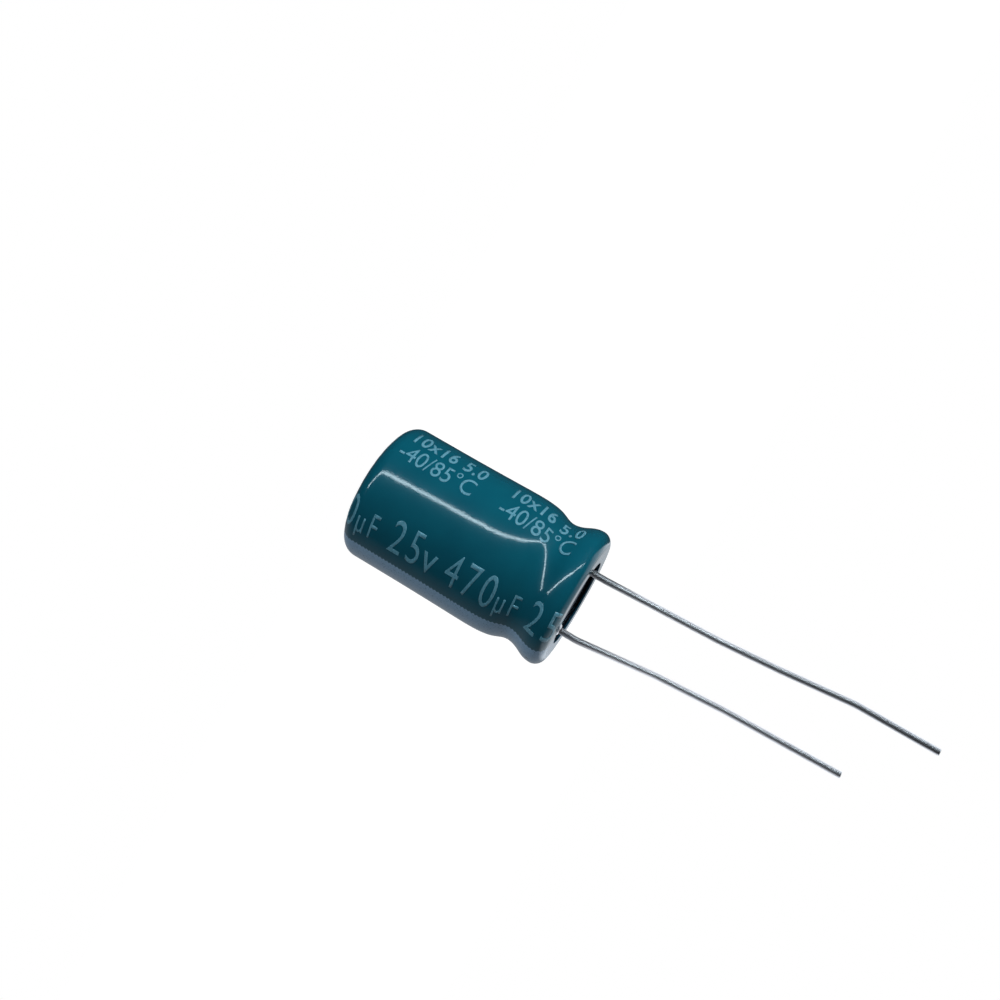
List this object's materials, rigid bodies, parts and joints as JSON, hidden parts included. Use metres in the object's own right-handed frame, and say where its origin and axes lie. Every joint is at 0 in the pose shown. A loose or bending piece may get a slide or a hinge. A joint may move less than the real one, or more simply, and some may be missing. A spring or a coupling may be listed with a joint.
{
  "type": "electrolytic capacitor",
  "caption": "Radial aluminium electrolytic capacitor: a beaded can in a shrunk sleeve, closed by a rubber seal that wire leads come out of, for a circuit board.",
  "frame": {"origin": "middle of the closed end's resting ring, on the can's axis", "axes": "+Z along the can's axis from the closed end to the leads, +X from the anode lead to the cathode lead, so the sleeve's stripe faces +X"},
  "size_m": [0.0104, 0.0104, 0.0416],
  "materials": {
    "sleeve_film": "glossy shrunk film with pale print",
    "can_aluminium": "drawn, satin",
    "seal_rubber": "matte moulded",
    "lead_wire": "tinned copper-clad steel, slightly dull",
    "tab_aluminium": "satin",
    "separator_paper": "soaked kraft paper",
    "etched_foil": "etched, matte",
    "plain_foil": "thin, satin",
    "closing_tape": "adhesive tape"
  },
  "bodies": {
    "root": {"sleeve": "sleeve_film", "can": "can_aluminium", "end_seal": "seal_rubber", "anode_lead": "lead_wire", "cathode_lead": "lead_wire", "anode_tab": "tab_aluminium", "cathode_tab": "tab_aluminium", "inner_separator": "separator_paper", "anode_foil": "etched_foil", "outer_separator": "separator_paper", "cathode_foil": "plain_foil", "element_tape": "closing_tape"}
  },
  "joints": []
}
